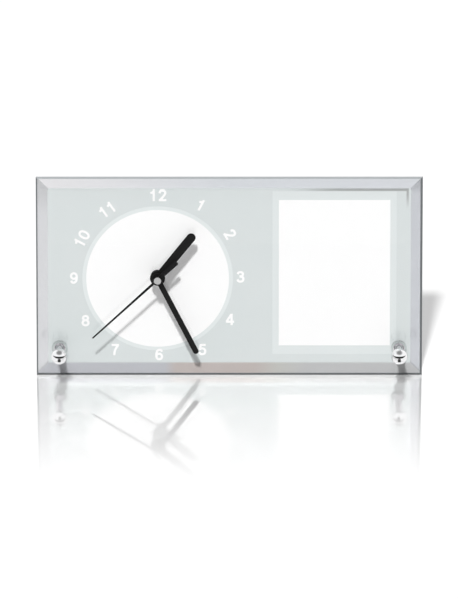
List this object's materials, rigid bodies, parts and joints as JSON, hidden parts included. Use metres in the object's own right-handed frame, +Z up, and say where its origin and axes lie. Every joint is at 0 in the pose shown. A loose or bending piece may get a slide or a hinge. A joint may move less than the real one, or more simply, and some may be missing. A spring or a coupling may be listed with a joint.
{
  "type": "photo frame clock",
  "caption": "Bevelled glass desk clock beside a blank white photo panel, leaning back on two chrome peg feet, with a battery quartz movement behind the dial.",
  "frame": {"origin": "on the table, under the middle of the object", "axes": "+Z up, +X to the right as the dial is seen, front faces -Y"},
  "size_m": [0.3, 0.0904, 0.1539],
  "materials": {
    "glass": "clear float glass, polished bevel",
    "silvering": "silvered and backed",
    "grey_coat": "sprayed lacquer under the glass",
    "pale_coat": "sprayed lacquer under the glass",
    "white_coat": "printable white lacquer",
    "backing": "satin protective lacquer",
    "clear_plastic": "clear moulded plastic",
    "chrome": "polished chrome plate",
    "steel": "nickel-plated steel",
    "black_plastic": "fine moulded texture",
    "rubber": "matte",
    "brass": "turned",
    "cell_jacket": "shrink sleeve",
    "gear_plastic": "moulded acetal",
    "magnet": "sintered",
    "copper_wire": "enamelled wire",
    "board": "laminate",
    "black_enamel": "satin black",
    "grey_enamel": "satin grey"
  },
  "bodies": {
    "base": {"glass_panel": "glass", "mirror_border": "silvering", "colour_coat": "grey_coat", "dial_ring": "pale_coat", "dial_disc": "white_coat", "photo_border": "pale_coat", "photo_panel": "white_coat", "protective_backing": "backing", "front_washer_left": "clear_plastic", "front_washer_right": "clear_plastic", "rear_washer_left": "clear_plastic", "rear_washer_right": "clear_plastic", "foot_knob_left": "chrome", "foot_knob_right": "chrome", "rear_leg_left": "chrome", "rear_leg_right": "chrome", "foot_stud_left": "steel", "foot_stud_right": "steel", "movement_case": "black_plastic", "movement_cover": "black_plastic", "movement_gasket": "rubber", "dial_washer": "black_enamel", "neck_nut": "black_enamel", "positive_contact": "steel", "negative_contact": "steel", "train_bridge": "gear_plastic", "bridge_screws": "steel", "stator": "steel", "coil_core": "steel", "coil_bobbin": "gear_plastic", "coil_winding": "copper_wire", "circuit_board": "board", "quartz_crystal": "steel", "chip_cover": "black_plastic"},
    "hour": {"hour_hand": "black_enamel", "hour_wheel": "gear_plastic"},
    "minute": {"minute_hand": "black_enamel", "minute_pipe": "brass"},
    "setting": {"motion_work_wheel": "gear_plastic", "setting_knob": "black_plastic"},
    "second": {"second_hand": "black_enamel", "second_hand_cap": "black_enamel", "cap_disc": "grey_enamel", "seconds_wheel": "gear_plastic"},
    "step": {"step_wheel": "gear_plastic"},
    "rotor": {"rotor": "gear_plastic", "rotor_magnet": "magnet"},
    "third": {"third_wheel": "gear_plastic"},
    "centre": {"centre_wheel": "gear_plastic"},
    "battery": {"battery": "cell_jacket"}
  },
  "joints": [
    {"name": "minute_turn", "type": "hinge", "parent": "base", "child": "minute", "pos_m": [-0.0557, 0.00967, 0.07525], "axis": [0, 0.9588, -0.284], "continuous": true},
    {"name": "hour_turn", "type": "hinge", "parent": "base", "child": "hour", "pos_m": [-0.0557, 0.00967, 0.07525], "axis": [0, 0.9588, -0.284], "continuous": true},
    {"name": "setting_turn", "type": "hinge", "parent": "base", "child": "setting", "pos_m": [-0.04625, 0.01014, 0.07685], "axis": [0, 0.9588, -0.284], "continuous": true},
    {"name": "second_turn", "type": "hinge", "parent": "base", "child": "second", "pos_m": [-0.0557, 0.00967, 0.07525], "axis": [0, 0.9588, -0.284], "continuous": true},
    {"name": "step_turn", "type": "hinge", "parent": "base", "child": "step", "pos_m": [-0.05654, 0.01238, 0.08442], "axis": [0, 0.9588, -0.284], "continuous": true},
    {"name": "rotor_turn", "type": "hinge", "parent": "base", "child": "rotor", "pos_m": [-0.06312, 0.01306, 0.08671], "axis": [0, 0.9588, -0.284], "continuous": true},
    {"name": "third_turn", "type": "hinge", "parent": "base", "child": "third", "pos_m": [-0.06485, 0.00989, 0.07601], "axis": [0, 0.9588, -0.284], "continuous": true},
    {"name": "centre_turn", "type": "hinge", "parent": "base", "child": "centre", "pos_m": [-0.0557, 0.00967, 0.07525], "axis": [0, 0.9588, -0.284], "continuous": true},
    {"name": "battery_slide", "type": "slide", "parent": "base", "child": "battery", "axis": [0, 0.9588, -0.284], "range_m": [0, 0.02]}
  ],
  "couplings": [
    {"joint": "hour_turn", "follows": "minute_turn", "ratio": 0.083333},
    {"joint": "setting_turn", "follows": "minute_turn", "ratio": -0.33333},
    {"joint": "step_turn", "follows": "second_turn", "ratio": -5},
    {"joint": "rotor_turn", "follows": "second_turn", "ratio": 30},
    {"joint": "third_turn", "follows": "second_turn", "ratio": -0.13333},
    {"joint": "centre_turn", "follows": "second_turn", "ratio": 0.016667}
  ]
}
